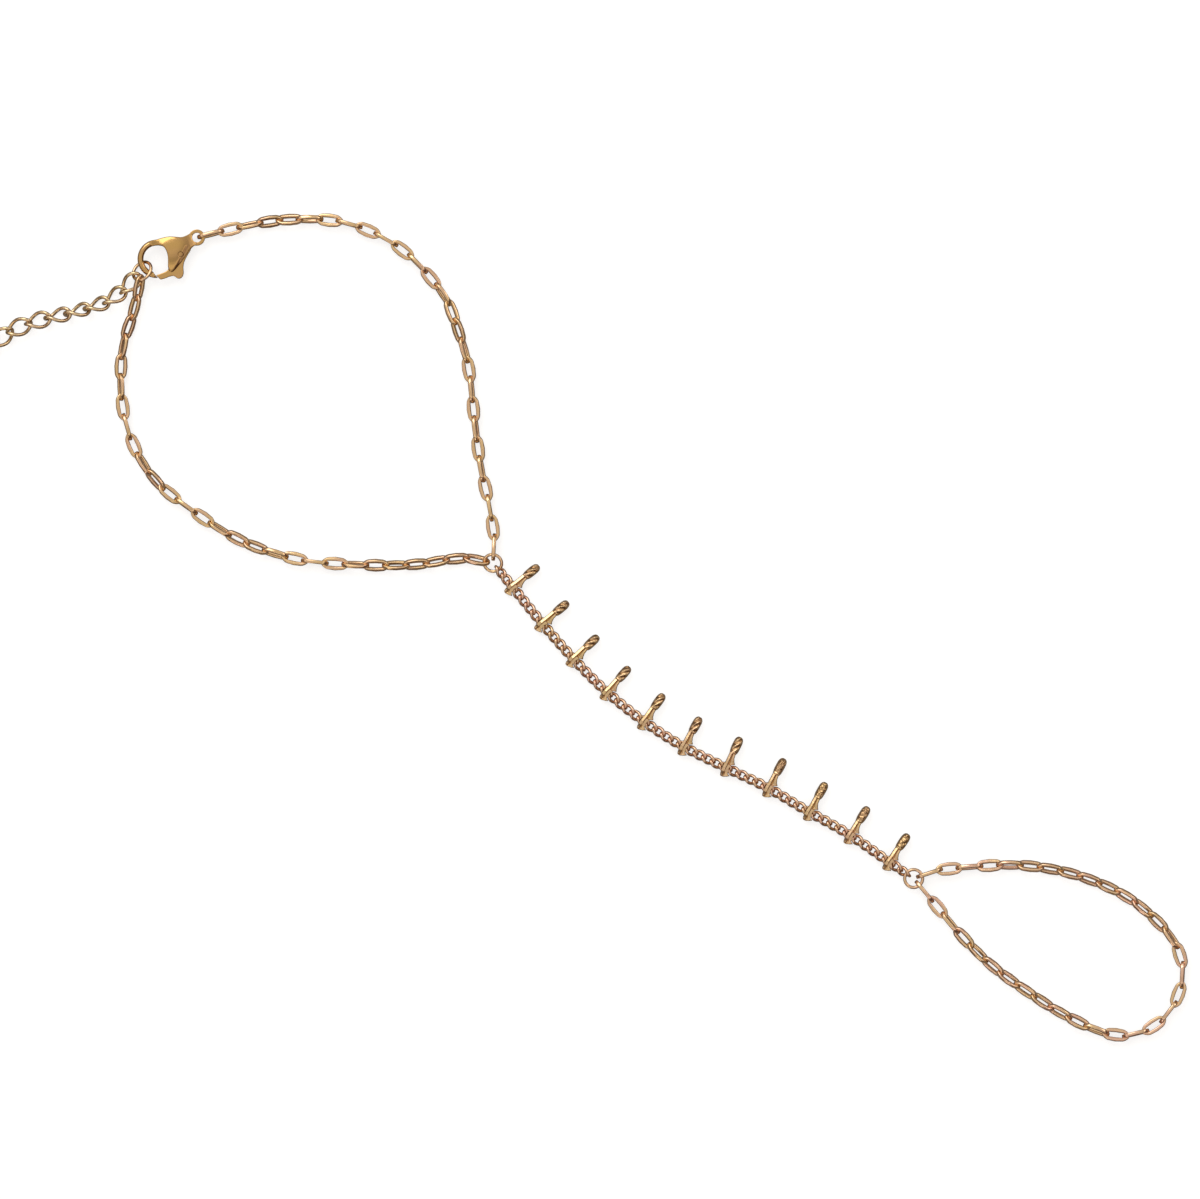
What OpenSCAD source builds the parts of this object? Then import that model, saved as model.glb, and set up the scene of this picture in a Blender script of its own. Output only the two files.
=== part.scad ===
// Hand chain bracelet: a wrist chain and a finger loop of flat wire cable links, joined along the
// back of the hand by a fine curb chain that carries eleven spike bars. A lobster clasp and a
// twisted curb extender close the wrist. Lengths are in millimetres.
// It lies flat on z = 0. +X runs along the hand from the wrist ring to the finger ring, and the
// spikes point to +Y.

/* [Cable links] */
// Inside length of a cable link, which is the pitch plus the play
link_inner = 2.82; // [2.4:0.05:3.2]
// Clear width of a cable link's hole
link_hole = 0.92; // [0.88:0.02:1.1]
// Wire of a cable link, in the plane of the link
link_wire = 0.42; // [0.3:0.02:0.42]
// Thickness of a cable link, across its plane
link_thick = 0.46; // [0.3:0.02:0.48]
// Play between two links along the chain
link_play = 0.18; // [0.16:0.01:0.24]

/* [Curb chain] */
// Pitch of the curb links
curb_pitch = 1.24; // [1.15:0.01:1.3]
// Wire diameter of the curb links
curb_wire = 0.32; // [0.22:0.02:0.34]
// Width of the curb chain
curb_width = 1.42; // [1.4:0.02:1.6]
// Curb links from one spike bar to the next
links_per_bar = 5; // [4:1:6]
// Number of spike bars
bar_count = 11; // [5:1:11]

/* [Spike bars] */
// Length of a spike from the curb chain's middle line to its tip
bar_reach = 4.4; // [3.6:0.05:5]
// Length of a spike's foot on the other side of the chain
bar_foot = 1.25; // [1:0.05:1.6]
// Width of the textured tip
tip_width = 1.2; // [1.1:0.05:1.6]
// Length of the textured tip
tip_length = 2.3; // [1.8:0.1:2.5]
// Height of the ridge above the chain's middle
ridge_height = 0.82; // [0.7:0.02:1.1]
// Distance from one diamond-cut groove to the next, along the spike
groove_pitch = 0.92; // [0.5:0.02:1]
// Depth of the diamond-cut grooves
groove_depth = 0.24; // [0.1:0.02:0.28]

/* [Rings] */
// Outer diameter of the two junction rings
ring_outer = 2.75; // [2.6:0.05:3.2]
// Wire diameter of the rings
ring_wire = 0.42; // [0.3:0.02:0.44]
// Outer diameter of the end ring that the clasp takes
end_ring_outer = 3.1; // [3:0.05:3.4]

/* [Extender chain] */
// Pitch of the extender links
ext_pitch = 2.86; // [2.6:0.02:3.1]
// Wire diameter of the extender links
ext_wire = 0.40; // [0.3:0.02:0.44]
// Width of the extender chain
ext_width = 2.5; // [2.2:0.05:2.6]

/* [Lobster clasp] */
// Distance from the hook's centre to the eye's centre
clasp_span = 5.9; // [5.6:0.1:6.6]
// Inner radius of the hook
hook_inner = 1.72; // [1.6:0.02:1.8]
// Diameter of the hook's wire
hook_wire = 0.78; // [0.6:0.02:0.8]
// Thickness of the clasp's belly
belly_thick = 2.2; // [2:0.05:2.4]
// Outer diameter of the eye
eye_outer = 2.1; // [2:0.05:2.3]
// Diameter of the hole in the eye
eye_hole = 1.24; // [1.2:0.02:1.3]
// Thickness of the lever
lever_thick = 0.7; // [0.5:0.05:0.8]
// Diameter of the pin that the lever turns on
pin_dia = 0.6; // [0.5:0.02:0.66]
// Running clearance of the lever, on its pin and in its slot
lever_gap = 0.06; // [0.04:0.01:0.08]

/* [Hidden] */
$fn = 48;

// Clear distance between two links that hang in one another
CLEAR = 0.1;
// Play of a chain's end link in its ring, and of the end ring in the clasp's hook
RING_PLAY = 0.08;
END_RING_PLAY = 0.13;
HOOK_PLAY = 0.38;
// Height at which every chain's middle line lies, so that an upright cable link stands on z = 0
link_width = link_hole + 2 * link_wire;
lie_z = link_width / 2;
// Moves the wrist ring, where the routes begin, so that the origin is under the middle of the whole
ORIGIN_SHIFT = [-17.75, -2.19, 0.013];

// Routes: x, y and lift in millimetres from the wrist ring, then the roll of the chain in degrees
WRIST_RING = [0, 0, 0.25];
RIGHT_ROUTE = [
    [-1.5, 2.4, 0, 90], [-5.2, 6.0, 0, 88], [-8.8, 9.1, 0, 75], [-13.4, 13.8, 0, 75],
    [-17.7, 18.4, 0, 78], [-21.8, 21.5, 0, 48], [-26.2, 24.1, 0, 20], [-34.2, 25.5, 0, 0],
    [-42.0, 23.8, 0, 2], [-48.4, 19.4, 0, 42], [-52.6, 15.0, 0.1, 78]
];
LEFT_ROUTE = [
    [-57.0, -1.5, 0.2, -50], [-56.2, -4.2, 0, -37], [-55.2, -6.5, 0, -28], [-53.7, -9.0, 0, -26],
    [-50.3, -13.0, 0, -14], [-46.0, -16.1, 0, 10], [-41.2, -17.8, 0, 50], [-36.2, -18.0, 0, 85],
    [-28.2, -17.4, 0, 125], [-20.9, -15.0, 0, 168], [-14.3, -11.0, 0, 200], [-7.9, -6.2, 0, 222],
    [-3.8, -2.0, 0, 222]
];
// The curb chain's x and y are shares of the distance between the two rings
CENTRE_ROUTE = [
    [0.054, -0.013, 0, -14], [0.141, -0.035, 0, -2], [0.227, -0.053, 0, 0],
    [0.316, -0.066, 0, 0], [0.406, -0.069, 0, 0], [0.493, -0.063, 0, 0], [0.581, -0.047, 0, 0],
    [0.671, -0.029, 0, 0], [0.758, -0.019, 0, 0], [0.848, -0.007, 0, 0], [0.939, -0.003, 0, 8]
];
// Share of the curb chain's length that the distance between its ends is
CENTRE_REACH = 0.976;
// Curb links before the first bar and after the last
END_LINKS = 2;
// The finger loop's x and y start from the finger ring
FINGER_ROUTE = [
    [1.5, 2.4, 0, 90], [5.3, 5.9, 0, 75], [9.3, 9.2, 0, 52], [13.9, 11.9, 0, 45],
    [18.9, 13.8, 0, 45], [24.5, 14.8, 0, 45], [30.6, 14.2, 0, 32], [34.3, 12.4, 0, 14],
    [36.5, 9.0, 0, 5], [36.9, 4.9, 0, 5], [35.3, 1.2, 0, 8], [31.9, -1.2, 0, 22],
    [25.8, -2.5, 0, 42], [20.4, -2.9, 0, 45], [15.2, -3.0, 0, 45], [9.9, -2.3, 0, 60],
    [5.1, -1.2, 0, 84]
];
EXTENDER_ROUTE = [
    [-59.9, -1.8, 0.1, 40], [-61.6, -4.6, 0, 55], [-63.6, -7.2, 0, 60], [-65.5, -9.4, 0, 35],
    [-67.2, -11.7, 0, 10], [-68.5, -14.2, 0, 0], [-69.2, -17.4, 0, 0], [-69.3, -21.3, 0, 0]
];

// Tilts of the rings: turn of the tilting axis about Z, then the tilt about that axis
WRIST_RING_LIE = [10, 22];
FINGER_RING_LIE = [0, 0];
END_RING_LIE = [264, 40];
END_RING_LIFT = 0.23;
// Rolls of the chains' end links where they hang in the rings, first end and last end
RIGHT_ROLLS = [90, 106];
LEFT_ROLLS = [-50, 222];
CENTRE_ROLLS = [-48, 48];
FINGER_ROLLS = [90, 90];
EXTENDER_ROLL = 20;
// Place of the clasp's hook and its turn about Z, and where round the hook the end ring hangs
HOOK_AT = [-58.6, 5.4];
CLASP_TURN = 64.8;
END_RING_ANGLE = 192;

// Fullness and steps of a cable link's outline, and the cut off its hole's corners
LINK_FULLNESS = 2.6;
LINK_STEPS = 16;
LINK_CORNER = 0.12;
// Turn of a curb link's end out of the chain's plane, and the added slack of these links
LINK_TWIST = 60;
CURB_SLACK = 0.04;
// Sides of a meshed link's wire and steps round a link
CURB_SIDES = 5;
CURB_STEPS = 12;
EXT_SIDES = 6;
EXT_STEPS = 14;
// Straight pieces into which a route's curve is cut between two of its points
ROUTE_STEPS = 8;

// Vectors and turns

function unit(v) = v / norm(v);

function flat_azimuth(v) = atan2(v[1], v[0]);

// Turns a point about X by roll, then up by rise, then about Z by turn
function turned(p, roll, rise, turn) =
    let (
        y = p[1] * cos(roll) - p[2] * sin(roll),
        z1 = p[1] * sin(roll) + p[2] * cos(roll),
        x = p[0] * cos(rise) - z1 * sin(rise),
        z = p[0] * sin(rise) + z1 * cos(rise)
    )
    [x * cos(turn) - y * sin(turn), x * sin(turn) + y * cos(turn), z];

// Routes and the places of links along them

// One point of the curve between b and c, which runs smoothly through a, b, c and d
function between(a, b, c, d, t) =
    0.5 * (2 * b + (c - a) * t + (2 * a - 5 * b + 4 * c - d) * t * t
           + (3 * b - a - 3 * c + d) * t * t * t);

function smooth_route(p) =
    let (last = len(p) - 1)
    concat(
        [for (i = [0 : last - 1], j = [0 : ROUTE_STEPS - 1])
            between(p[max(i - 1, 0)], p[i], p[i + 1], p[min(i + 2, last)], j / ROUTE_STEPS)],
        [p[last]]);

function place_of(row) = [row[0], row[1], row[2]];

// Length along the route up to each of its points
function lengths_along(p) = [
    for (i = 0, s = 0; i < len(p); i = i + 1, s = i < len(p)
         ? s + norm(place_of(p[i]) - place_of(p[i - 1])) : s) s
];

function row_at(p, s, at) =
    let (
        i = max([for (k = [0 : len(p) - 2]) if (s[k] <= at) k]),
        share = min(1, (at - s[i]) / (s[i + 1] - s[i]))
    )
    p[i] + share * (p[i + 1] - p[i]);

// A link's frame: its middle, roll, rise and turn
function link_frames(route, pitch) =
    let (
        p = smooth_route(route),
        s = lengths_along(p),
        total = s[len(s) - 1],
        count = ceil(total / pitch - 0.001),
        rows = [for (k = [0 : count]) row_at(p, s, total * k / count)]
    )
    [for (k = [0 : count - 1])
        let (a = place_of(rows[k]), b = place_of(rows[k + 1]), along = b - a)
        [(a + b) / 2 + [0, 0, lie_z], (rows[k][3] + rows[k + 1][3]) / 2,
         asin(along[2] / norm(along)), flat_azimuth(along)]];

// Point on a ring's inner side where a chain that leaves toward a place hangs
function seat(centre, lie, reach, place, roll) =
    let (
        azimuth = flat_azimuth(place_of(place) - centre),
        normal = turned([0, 0, 1], lie[1], 0, lie[0]),
        d = [cos(azimuth), sin(azimuth), 0],
        inside = unit([d[0], d[1], -(d[0] * normal[0] + d[1] * normal[1]) / normal[2]]),
        p = centre + reach * inside
    )
    [p[0], p[1], p[2], roll];

// Wire loops

// Middle line of a twisted oval link of half length a and half width b
function curb_loop(a, b, steps) = [
    for (i = [0 : steps - 1])
        let (t = 360 * i / steps, twist = LINK_TWIST * cos(t))
        [a * cos(t), b * sin(t) * cos(twist), b * sin(t) * sin(twist)]
];

function wire_points(loop, r, sides) = [
    for (i = [0 : len(loop) - 1])
        let (
            n = len(loop),
            along = unit(loop[(i + 1) % n] - loop[(i + n - 1) % n]),
            out = unit(loop[i] - along * (loop[i] * along)),
            up = cross(along, out)
        )
        for (j = [0 : sides - 1])
            loop[i] + r * (cos(360 * j / sides) * out + sin(360 * j / sides) * up)
];

function wire_faces(n, sides, first = 0) = [
    for (i = [0 : n - 1], j = [0 : sides - 1])
        let (
            a = first + i * sides + j,
            b = first + i * sides + (j + 1) % sides,
            c = first + ((i + 1) % n) * sides + j,
            d = first + ((i + 1) % n) * sides + (j + 1) % sides
        )
        each [[a, c, b], [b, c, d]]
];

// Derived sizes and places

curb_a = (curb_pitch + curb_wire + CLEAR + CURB_SLACK) / 2;
curb_b = (curb_width - curb_wire) / 2;
ext_a = (ext_pitch + ext_wire + CLEAR + CURB_SLACK) / 2;
ext_b = (ext_width - ext_wire) / 2;
link_length = link_inner + 2 * link_wire;
ring_mid = (ring_outer - ring_wire) / 2;
end_ring_mid = (end_ring_outer - ring_wire) / 2;
ring_reach = ring_mid - ring_wire / 2 - RING_PLAY;
end_ring_reach = end_ring_mid - ring_wire / 2 - END_RING_PLAY;
eye_reach = eye_hole / 2 - CLEAR / 2;
clasp_lift = belly_thick / 2 - lie_z;
hook_mid = hook_inner + hook_wire / 2;

hook_place = [HOOK_AT[0], HOOK_AT[1], clasp_lift];
eye_place = hook_place + turned([clasp_span, 0, 0], 0, 0, CLASP_TURN);
end_ring_place =
    hook_place + turned([hook_inner - HOOK_PLAY + end_ring_mid - ring_wire / 2, 0, 0],
                        0, 0, CLASP_TURN + END_RING_ANGLE)
    + [0, 0, END_RING_LIFT - clasp_lift];

centre_links = (bar_count - 1) * links_per_bar + 2 * END_LINKS + 1;
ring_distance = CENTRE_REACH * centre_links * curb_pitch + 2 * ring_reach;
finger_ring_place = [ring_distance, 0, 0];
centre_rows = [for (r = CENTRE_ROUTE) [r[0] * ring_distance, r[1] * ring_distance, r[2], r[3]]];
finger_rows = [for (r = FINGER_ROUTE) [r[0] + ring_distance, r[1], r[2], r[3]]];

function joined(start, rows, finish) = concat([start], rows, [finish]);

right_frames = link_frames(
    joined(seat(WRIST_RING, WRIST_RING_LIE, ring_reach, RIGHT_ROUTE[0], RIGHT_ROLLS[0]), RIGHT_ROUTE,
           seat(eye_place, [0, 0], eye_reach, RIGHT_ROUTE[len(RIGHT_ROUTE) - 1], RIGHT_ROLLS[1])),
    link_inner - link_play);
left_frames = link_frames(
    joined(seat(end_ring_place, END_RING_LIE, end_ring_reach, LEFT_ROUTE[0], LEFT_ROLLS[0]),
           LEFT_ROUTE,
           seat(WRIST_RING, WRIST_RING_LIE, ring_reach, LEFT_ROUTE[len(LEFT_ROUTE) - 1],
                LEFT_ROLLS[1])),
    link_inner - link_play);
finger_frames = link_frames(
    joined(seat(finger_ring_place, FINGER_RING_LIE, ring_reach, finger_rows[0], FINGER_ROLLS[0]),
           finger_rows,
           seat(finger_ring_place, FINGER_RING_LIE, ring_reach, finger_rows[len(finger_rows) - 1],
                FINGER_ROLLS[1])),
    link_inner - link_play);
centre_frames = link_frames(
    joined(seat(WRIST_RING, WRIST_RING_LIE, ring_reach, centre_rows[0], CENTRE_ROLLS[0]),
           centre_rows,
           seat(finger_ring_place, FINGER_RING_LIE, ring_reach, centre_rows[len(centre_rows) - 1],
                CENTRE_ROLLS[1])),
    curb_pitch);
extender_frames = link_frames(
    concat([seat(end_ring_place, END_RING_LIE, end_ring_reach, EXTENDER_ROUTE[0], EXTENDER_ROLL)],
           EXTENDER_ROUTE),
    ext_pitch);

// Curb link that bar i, counted from 1, is soldered to
function bar_link(i) = END_LINKS + (i - 1) * links_per_bar;
bar_links = [for (i = [1 : bar_count]) bar_link(i)];

// Pieces

module in_frame(frame, roll = 0)
    translate(ORIGIN_SHIFT + frame[0])
        rotate([frame[1] + roll, -frame[2], frame[3]])
            children();

// Outline of a rounded oval that fills its box more than an ellipse does
function oval(length, width, power, steps) = [
    for (i = [0 : steps - 1])
        let (c = cos(360 * (i + 0.5) / steps), s = sin(360 * (i + 0.5) / steps))
        [length / 2 * sign(c) * pow(abs(c), 2 / power),
         width / 2 * sign(s) * pow(abs(s), 2 / power)]
];

// Rectangle with cut corners
function chamfered(length, width, cut) = [
    for (c = [[1, 1], [-1, 1], [-1, -1], [1, -1]], second = [false, true])
        let (along = (c[0] * c[1] > 0) == second)
        [c[0] * (length / 2 - (along ? cut : 0)), c[1] * (width / 2 - (along ? 0 : cut))]
];

module cable_link()
    linear_extrude(height = link_thick, center = true)
        difference() {
            polygon(oval(link_length, link_width, LINK_FULLNESS, LINK_STEPS));
            polygon(chamfered(link_inner, link_hole, LINK_CORNER));
        }

module cable_chain(frames)
    for (k = [0 : len(frames) - 1])
        in_frame(frames[k], 90 * (k % 2)) cable_link();

// All the loops of a meshed chain, as one set of closed surfaces
module curb_links(frames, loop, r, sides) {
    points = wire_points(loop, r, sides);
    polyhedron(
        points = [
            for (f = frames, p = points) ORIGIN_SHIFT + f[0] + turned(p, f[1], f[2], f[3])
        ],
        faces = [
            for (k = [0 : len(frames) - 1])
                each wire_faces(len(loop), sides, k * len(points))
        ],
        convexity = 10);
}

module wire_ring(centre, lie, mid)
    translate(ORIGIN_SHIFT + centre + [0, 0, lie_z])
        rotate([lie[1], 0, lie[0]])
            rotate_extrude() translate([mid, 0]) circle(d = ring_wire);

module wrist_chain_right() color("goldenrod") cable_chain(right_frames);

module wrist_chain_left() color("goldenrod") cable_chain(left_frames);

module finger_chain() color("goldenrod") cable_chain(finger_frames);

module centre_chain()
    color("rosybrown")
        curb_links(
            [for (k = [0 : len(centre_frames) - 1]) if (len(search(k, bar_links)) == 0)
                centre_frames[k]],
            curb_loop(curb_a, curb_b, CURB_STEPS), curb_wire / 2, CURB_SIDES);

module extender_chain()
    color("tan")
        curb_links(extender_frames, curb_loop(ext_a, ext_b, EXT_STEPS), ext_wire / 2, EXT_SIDES);

module wrist_ring() color("goldenrod") wire_ring(WRIST_RING, WRIST_RING_LIE, ring_mid);

module finger_ring()
    color("goldenrod") wire_ring(finger_ring_place, FINGER_RING_LIE, ring_mid);

module end_ring() color("goldenrod") wire_ring(end_ring_place, END_RING_LIE, end_ring_mid);

// Spike bars

// Stations of the foot, from its end to the chain's side, and of the shaft, from the chain's side
// to the neck: share of its length, left and right half widths as shares of the curb's pitch, share
// of the ridge's height
FOOT_STATIONS = [
    [1.00, 0.14, 0.26, 0.30], [0.62, 0.22, 0.60, 0.46], [0.36, 0.25, 0.80, 0.58],
    [0.00, 0.27, 0.46, 0.80]
];
SHAFT_STATIONS = [
    [0.00, 0.27, 0.46, 1.00], [0.18, 0.26, 0.80, 0.99], [0.40, 0.26, 0.62, 0.97],
    [0.65, 0.26, 0.50, 0.94], [1.00, 0.27, 0.46, 0.90]
];
// Half widths of the saddle as shares of the curb's pitch
SADDLE_SIDES = [0.30, 0.38];
// Stations of the textured tip: share of its length, share of its width, share of height
TIP_STATIONS = [
    [0.05, 0.84, 0.84], [0.14, 0.92, 0.86], [0.26, 0.98, 0.88], [0.40, 1.00, 0.90],
    [0.55, 1.00, 0.90], [0.70, 0.98, 0.86], [0.82, 0.90, 0.78], [0.92, 0.72, 0.64],
    [1.00, 0.36, 0.40]
];
// Shift of the tip's middle to the right of the ridge, as a share of its width
TIP_SHIFT = 0.1;
// Share of the tip's sides at which its flat top ends
TIP_CREST = 0.55;
BAR_EDGE = 0.12;
// Share of the left half width at which the narrow ridge's flat top begins; it ends on the axis
RIDGE_EDGE = 0.84;
UNDERSIDE = -0.26;
// Step along the spike over which its underside rises from the chain's side to the saddle
SADDLE_STEP = 0.06;
// Height of a hanging link's bow, as a share of the half width of its raised side
SADDLE_RISE = 0.9;
// Advance of a groove along the spike for each millimetre across it
GROOVE_SLANT = 1.4;

// One section across the spike, from the left edge over the top to the right edge and back
function bar_section(y, left, right, under, top, crest, cut) = [
    [-left, y, under], [-left, y, under + BAR_EDGE],
    [crest[0], y, top - cut * groove(crest[0], y)], [crest[1], y, top - cut * groove(crest[1], y)],
    [right, y, under + BAR_EDGE], [right, y, under]
];

function groove(x, y) =
    groove_depth * (0.5 - 0.5 * cos(360 * (y - GROOVE_SLANT * x) / groove_pitch));

// The saddle bridges the bows of the two links that hang in the bar's own link
saddle_half = curb_b;
saddle_under = curb_b * sin(LINK_TWIST) * SADDLE_RISE + curb_wire / 2;
neck = bar_reach - tip_length;

// A section of the foot or shaft, whose sides are shares of the curb's pitch
function web_section(y, sides, under, height) =
    let (left = sides[0] * curb_pitch)
    bar_section(y, left, sides[1] * curb_pitch, under, height * ridge_height,
                [-RIDGE_EDGE * left, 0], 0);

bar_sections = concat(
    [for (s = FOOT_STATIONS)
        web_section(-saddle_half - s[0] * (bar_foot - saddle_half), [s[1], s[2]], UNDERSIDE, s[3])],
    [for (side = [-1, 1])
        web_section(side * (saddle_half - SADDLE_STEP), SADDLE_SIDES, saddle_under, 1)],
    [for (s = SHAFT_STATIONS)
        web_section(saddle_half + s[0] * (neck - saddle_half), [s[1], s[2]], UNDERSIDE, s[3])],
    [for (s = TIP_STATIONS)
        let (left = (s[1] / 2 - TIP_SHIFT) * tip_width, right = (s[1] / 2 + TIP_SHIFT) * tip_width)
        bar_section(neck + s[0] * tip_length, left, right, UNDERSIDE, s[2] * ridge_height,
                    TIP_CREST * [-left, right], 1)]);

function loft_faces(rings, n) = concat(
    [[for (j = [0 : n - 1]) j]],
    [for (i = [0 : rings - 2], j = [0 : n - 1])
        let (a = i * n + j, b = i * n + (j + 1) % n, c = a + n, d = b + n)
        each [[a, c, b], [b, c, d]]],
    [[for (j = [n - 1 : -1 : 0]) (rings - 1) * n + j]]);

module spike()
    polyhedron(
        points = [for (s = bar_sections) each s],
        faces = loft_faces(len(bar_sections), len(bar_sections[0])),
        convexity = 6);

module bar(i)
    color("gold") {
        frame = centre_frames[bar_link(i)];
        translate(ORIGIN_SHIFT + frame[0]) rotate([0, 0, frame[3]]) spike();
        curb_links([frame], curb_loop(curb_a, curb_b, CURB_STEPS), curb_wire / 2, CURB_SIDES);
    }

// Lobster clasp, drawn with the hook's centre at the origin, the eye on +X and the lever on -Y

PIN_AT = [3.05, -1.0];
// Points of the belly's outline, from the hook's root along the back to the eye, then along the
// lever's seam and round the hook's hole
BELLY = [
    [0.2, 2.42], [1.1, 2.22], [2.1, 2.0], [2.9, 1.72], [3.6, 1.3], [4.2, 0.94], [4.8, 0.85],
    [5.6, 0.7], [5.6, -0.7], [4.7, -0.84], [3.56, -1.46], [2.35, -2.04], [1.15, -2.5], [0.75, -2.3],
    [0.78, -1.75], [1.12, -1.1], [1.48, -0.35], [1.62, 0.45], [1.45, 1.1], [0.8, 1.58], [0.2, 1.78]
];
// Points of the lever's outline, from its tail along the thumb nub to the tip of the arm and back
LEVER = [
    [4.5, -0.95], [3.77, -1.44], [3.0, -2.0], [2.56, -2.55], [2.2, -3.3], [1.74, -3.66],
    [1.25, -3.58], [0.92, -3.02], [0.4, -2.82], [-0.4, -2.72], [-1.5, -2.36], [-1.4, -1.86],
    [-0.3, -1.97], [0.4, -2.0], [1.1, -1.7], [2.0, -1.0], [2.5, -0.45], [3.1, -0.3], [3.8, -0.6]
];
// Straight pieces into which an outline's curve is cut between two of its points
OUTLINE_STEPS = 4;
// Reach of the lever's arm from the pin, to where it meets the hook's free end
ARM_REACH = 4.2;
// Angles about the hook's centre between which its wire runs, from the free end to the root
HOOK_FREE_END = 250;
HOOK_ROOT = 58;
EYE_THICK = 0.58;
// Outline of the slot that the lever turns in, open at the seam
SLOT = [[5.2, -0.1], [3.6, 0.25], [0.2, 0.25], [-0.6, -4.2], [5.2, -4.2]];
// Room round the pressed pin in the body, across both sides, and the pin's length
PIN_FIT = 0.02;
PIN_LENGTH = 1.84;
// Height that passes right through the clasp
THROUGH = 4;
// Radius of the belly's domed sides and their middle along the clasp
DOME_RADIUS = 7;
DOME_MIDDLE = 2.3;

// A closed curve through hand-set points
function smooth_outline(p) =
    let (n = len(p))
    [for (i = [0 : n - 1], j = [0 : OUTLINE_STEPS - 1])
        between(p[(i + n - 1) % n], p[i], p[(i + 1) % n], p[(i + 2) % n], j / OUTLINE_STEPS)];

module at_clasp()
    translate(ORIGIN_SHIFT + hook_place + [0, 0, lie_z])
        rotate([0, 0, CLASP_TURN])
            children();

module at_pin() translate([PIN_AT[0], PIN_AT[1], 0]) children();

module slab(thick) linear_extrude(height = thick, center = true) children();

// A lens: what two balls share, with its middle as thick as the belly
module lens()
    intersection_for (side = [-1, 1])
        translate([DOME_MIDDLE, 0, side * (DOME_RADIUS - belly_thick / 2)])
            sphere(r = DOME_RADIUS, $fn = 96);

module belly()
    intersection() {
        slab(THROUGH) polygon(smooth_outline(BELLY));
        lens();
    }

module hook()
    rotate([0, 0, HOOK_ROOT])
        rotate_extrude(angle = HOOK_FREE_END - HOOK_ROOT)
            translate([hook_mid, 0])
                circle(d = hook_wire);

module clasp_body()
    color("darkgoldenrod") at_clasp()
        difference() {
            union() {
                belly();
                hook();
                translate([clasp_span, 0, 0]) cylinder(d = eye_outer, h = EYE_THICK, center = true);
            }
            translate([clasp_span, 0, 0]) cylinder(d = eye_hole, h = THROUGH, center = true);
            slab(lever_thick + 2 * lever_gap)
                polygon(SLOT);
            at_pin() cylinder(d = pin_dia + PIN_FIT, h = THROUGH, center = true);
            // The hook's free end follows the swing of the arm
            intersection() {
                arm_swing(ARM_REACH + lever_gap);
                translate([-4.5, -5, 0]) cube([9, 8, THROUGH], center = true);
            }
        }

module arm_swing(reach)
    at_pin() cylinder(r = reach, h = THROUGH, center = true, $fn = 96);

module clasp_lever()
    color("darkgoldenrod") at_clasp()
        difference() {
            intersection() {
                slab(lever_thick) polygon(smooth_outline(LEVER));
                arm_swing(ARM_REACH);
            }
            at_pin() cylinder(d = pin_dia + 2 * lever_gap, h = THROUGH, center = true);
        }

module clasp_pin()
    color("darkgoldenrod") at_clasp()
        at_pin() cylinder(d = pin_dia, h = PIN_LENGTH, center = true);

wrist_chain_right();
wrist_chain_left();
finger_chain();
centre_chain();
extender_chain();
wrist_ring();
finger_ring();
end_ring();
clasp_body();
clasp_lever();
clasp_pin();
for (i = [1 : bar_count]) bar(i);
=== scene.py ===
"""Dress the hand chain bracelet: smooth gold links, spike bars and a cast lobster clasp.

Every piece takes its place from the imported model, which holds each link as a loose part of its
chain's node. Lengths in the classes are millimetres, and the meshes are metres.
"""

from __future__ import annotations

import logging
import math
from collections.abc import Callable
from dataclasses import dataclass, field
from enum import Enum

import bmesh
import bpy
import numpy as np
from mathutils import Matrix, Vector, noise


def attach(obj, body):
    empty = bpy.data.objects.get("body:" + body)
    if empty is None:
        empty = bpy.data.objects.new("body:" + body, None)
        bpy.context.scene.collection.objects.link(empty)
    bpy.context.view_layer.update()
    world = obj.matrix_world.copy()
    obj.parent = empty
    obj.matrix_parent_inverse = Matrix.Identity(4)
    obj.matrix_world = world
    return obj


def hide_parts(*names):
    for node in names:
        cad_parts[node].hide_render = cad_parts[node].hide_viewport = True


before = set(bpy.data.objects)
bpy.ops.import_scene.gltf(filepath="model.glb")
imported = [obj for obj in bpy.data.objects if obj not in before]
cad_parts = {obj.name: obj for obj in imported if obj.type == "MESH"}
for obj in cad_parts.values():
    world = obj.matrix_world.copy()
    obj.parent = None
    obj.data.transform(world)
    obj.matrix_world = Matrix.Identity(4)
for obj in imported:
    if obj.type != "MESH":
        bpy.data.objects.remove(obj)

MM = 0.001
LOG = logging.getLogger("hand_chain")
PAINTED_SHADE = "painted_shade_share"  # attribute that holds how much painted shade darkens the plate at a corner
MERGE_DIGITS = 8  # corners that agree to this many digits of a metre are one
BAR_STEP = 1.5  # a step of more pitches than this between curb links has a bar in it
MARKS_IN_HEIGHT = 0.25  # height of the fine rubbing marks against the broad waves

Pair = tuple[float, float]
Triple = tuple[float, float, float]
Row = tuple[float, float, float, float]


class Body(Enum):
    """Rigid bodies of the bracelet."""

    BRACELET = "bracelet"
    LEVER = "lever"


class Tone(Enum):
    """Finishes of the gold plate, one for each kind of metal part."""

    LINKS = "gold_links"
    FINGER = "rose_gold_links"
    CURB = "rose_gold_curb"
    EXTENDER = "gold_extender"
    CLASP = "gold_clasp"
    BARS = "gold_bars"


def clamped(value: float) -> float:
    """Hold a share between 0 and 1."""
    return min(max(value, 0.0), 1.0)


def eased(share: float) -> float:
    """Ease a share from 0 to 1, level at both ends."""
    return share * share * (3 - 2 * share)


def bell(away: float, width: float) -> float:
    """Fall smoothly from 1 at no distance towards 0 past a width."""
    return math.exp(-((away / width) ** 2))


# Shader groups and finishes


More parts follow.
